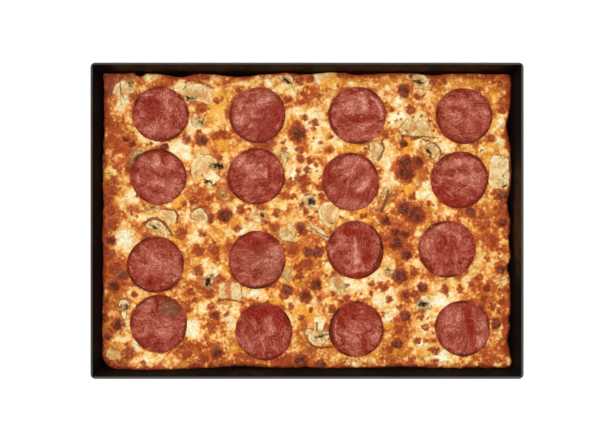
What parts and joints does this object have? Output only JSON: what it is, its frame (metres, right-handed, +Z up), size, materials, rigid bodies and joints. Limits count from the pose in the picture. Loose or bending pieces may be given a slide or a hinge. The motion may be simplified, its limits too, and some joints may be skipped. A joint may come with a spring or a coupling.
{
  "type": "pan pizza in its baking pan",
  "caption": "Rectangular deep-pan pizza with pepperoni and mushrooms on browned cheese, in the black steel pan it was baked in.",
  "frame": {"origin": "middle of the flat underside of the pan", "axes": "+X along the pan's long side, +Y along its short side, +Z up out of the open top"},
  "size_m": [0.3748, 0.2738, 0.051],
  "materials": {
    "black_steel": "satin",
    "crust": "matte",
    "cheese": "satin",
    "pepperoni": "gloss",
    "mushroom": "matte"
  },
  "bodies": {
    "root": {"pan": "black_steel", "crust": "crust", "cheese": "cheese", "pepperoni_11": "pepperoni", "pepperoni_12": "pepperoni", "pepperoni_13": "pepperoni", "pepperoni_14": "pepperoni", "pepperoni_21": "pepperoni", "pepperoni_22": "pepperoni", "pepperoni_23": "pepperoni", "pepperoni_24": "pepperoni", "pepperoni_31": "pepperoni", "pepperoni_32": "pepperoni", "pepperoni_33": "pepperoni", "pepperoni_34": "pepperoni", "pepperoni_41": "pepperoni", "pepperoni_42": "pepperoni", "pepperoni_43": "pepperoni", "pepperoni_44": "pepperoni", "mushroom_01": "mushroom", "mushroom_02": "mushroom", "mushroom_03": "mushroom", "mushroom_04": "mushroom", "mushroom_05": "mushroom", "mushroom_06": "mushroom", "mushroom_07": "mushroom", "mushroom_08": "mushroom", "mushroom_09": "mushroom", "mushroom_10": "mushroom", "mushroom_11": "mushroom", "mushroom_12": "mushroom", "mushroom_13": "mushroom", "mushroom_14": "mushroom", "mushroom_15": "mushroom", "mushroom_16": "mushroom", "mushroom_17": "mushroom", "mushroom_18": "mushroom", "mushroom_19": "mushroom", "mushroom_20": "mushroom", "mushroom_21": "mushroom", "mushroom_22": "mushroom", "mushroom_23": "mushroom", "mushroom_24": "mushroom", "mushroom_25": "mushroom", "mushroom_26": "mushroom", "mushroom_27": "mushroom", "mushroom_28": "mushroom", "mushroom_29": "mushroom", "mushroom_30": "mushroom", "mushroom_31": "mushroom", "mushroom_32": "mushroom", "mushroom_33": "mushroom"}
  },
  "joints": []
}
